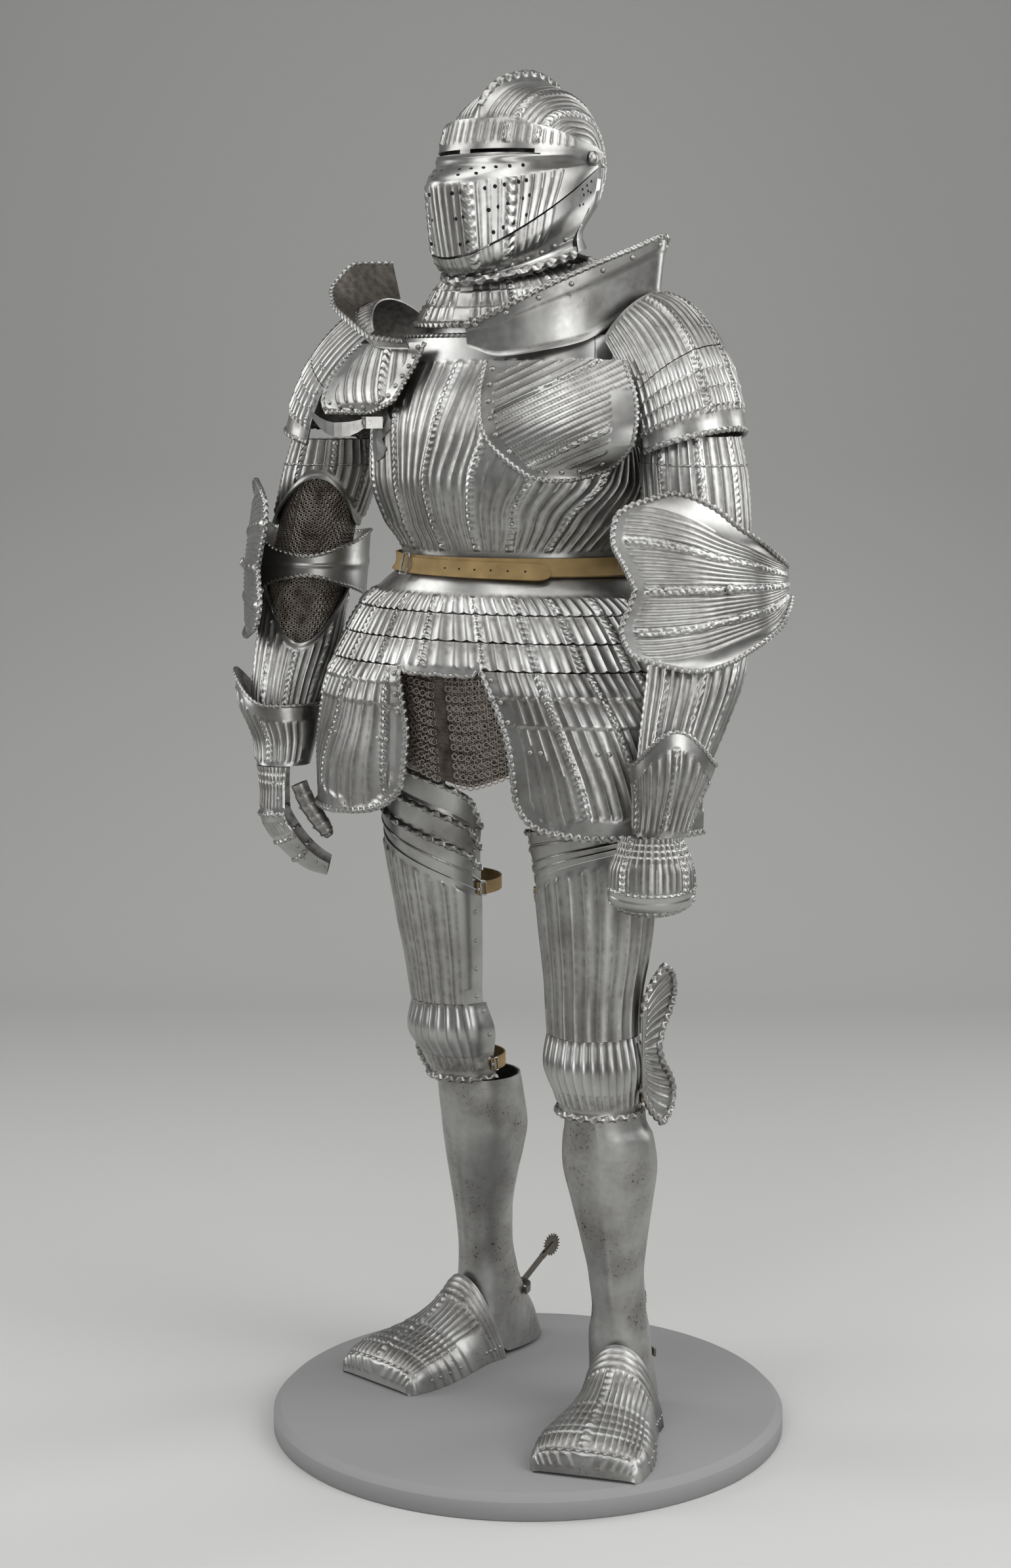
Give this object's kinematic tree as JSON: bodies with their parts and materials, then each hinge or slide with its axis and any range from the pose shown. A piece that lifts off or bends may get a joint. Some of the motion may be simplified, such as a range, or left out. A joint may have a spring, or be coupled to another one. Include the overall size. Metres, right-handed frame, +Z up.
{
  "type": "suit of plate armour on a display base",
  "caption": "Full fluted field armour standing on a round base: close helmet, shoulders, arms, gauntlets, breast, skirts and legs as open plate shells, with mail.",
  "frame": {"origin": "centre of the underside of the round base, on the floor", "axes": "+Z up; the armour's chest faces -Y and its left side is +X; the helmet is turned 6 degrees to its right"},
  "size_m": [0.8287, 0.7, 1.811],
  "materials": {
    "bright_steel": "old polished steel plate, lightly pitted",
    "dark_iron": "dark browned iron",
    "mail": "riveted iron mail, dark",
    "buff_leather": "buff leather, matt",
    "plinth_paint": "fibreboard painted matt mid grey"
  },
  "bodies": {
    "suit": {"plinth": "plinth_paint", "breastplate": "bright_steel", "backplate": "bright_steel", "gusset_left": "bright_steel", "gusset_right": "bright_steel", "waist_belt": "buff_leather", "fauld_lame_1": "bright_steel", "fauld_lame_2": "bright_steel", "fauld_lame_3": "bright_steel", "culet": "bright_steel", "mail_skirt": "mail", "tasset_left": "bright_steel", "tasset_right": "bright_steel", "lance_rest_bracket": "bright_steel", "gorget": "bright_steel", "gorget_yoke": "bright_steel", "helmet_skull": "bright_steel", "pauldron_left": "bright_steel", "pauldron_left_lames": "bright_steel", "pauldron_left_wing": "bright_steel", "haute_piece_left": "bright_steel", "pauldron_right": "bright_steel", "pauldron_right_lames": "bright_steel", "pauldron_right_wing": "bright_steel", "haute_piece_right": "bright_steel", "upper_cannon_left": "bright_steel", "upper_cannon_right": "bright_steel", "lower_cannon_left": "bright_steel", "lower_cannon_right": "bright_steel", "mail_elbow_left": "mail", "mail_elbow_right": "mail", "couter_left": "bright_steel", "couter_right": "bright_steel", "gauntlet_left_cuff": "bright_steel", "gauntlet_right_cuff": "bright_steel", "gauntlet_left_mitten": "bright_steel", "gauntlet_right_hand": "bright_steel", "gauntlet_right_thumb": "bright_steel", "cuisse_left": "bright_steel", "cuisse_right": "bright_steel", "cuisse_lames_left": "bright_steel", "cuisse_lames_right": "bright_steel", "poleyn_left": "bright_steel", "poleyn_right": "bright_steel", "poleyn_wing_left": "bright_steel", "poleyn_wing_right": "bright_steel", "greave_left": "bright_steel", "greave_right": "bright_steel", "sabaton_left": "bright_steel", "sabaton_right": "bright_steel", "spur_left": "dark_iron", "spur_right": "dark_iron"},
    "bevor": {"helmet_bevor": "bright_steel", "helmet_pivot_left": "bright_steel", "helmet_pivot_right": "bright_steel"},
    "visor": {"helmet_visor": "bright_steel"},
    "lance_arm": {"lance_rest_arm": "bright_steel"},
    "rowel_l": {"rowel_left": "dark_iron"},
    "rowel_r": {"rowel_right": "dark_iron"}
  },
  "joints": [
    {"name": "bevor_lift", "type": "hinge", "parent": "suit", "child": "bevor", "pos_m": [0.008, -0.007, 1.698], "axis": [-0.9945, 0.1045, 0], "range_deg": [0, 45]},
    {"name": "visor_lift", "type": "hinge", "parent": "bevor", "child": "visor", "pos_m": [0.008, -0.007, 1.698], "axis": [-0.9945, 0.1045, 0], "range_deg": [0, 55]},
    {"name": "lance_arm_fold", "type": "hinge", "parent": "suit", "child": "lance_arm", "pos_m": [-0.1425, -0.16505, 1.366], "axis": [-0.7569, 0.6535, 0], "range_deg": [0, 75]},
    {"name": "rowel_left_spin", "type": "hinge", "parent": "suit", "child": "rowel_l", "pos_m": [0.11372, 0.11704, 0.156], "axis": [0.9563, 0.2924, 0], "continuous": true},
    {"name": "rowel_right_spin", "type": "hinge", "parent": "suit", "child": "rowel_r", "pos_m": [-0.13224, 0.26252, 0.156], "axis": [0.9816, -0.1908, 0], "continuous": true}
  ]
}
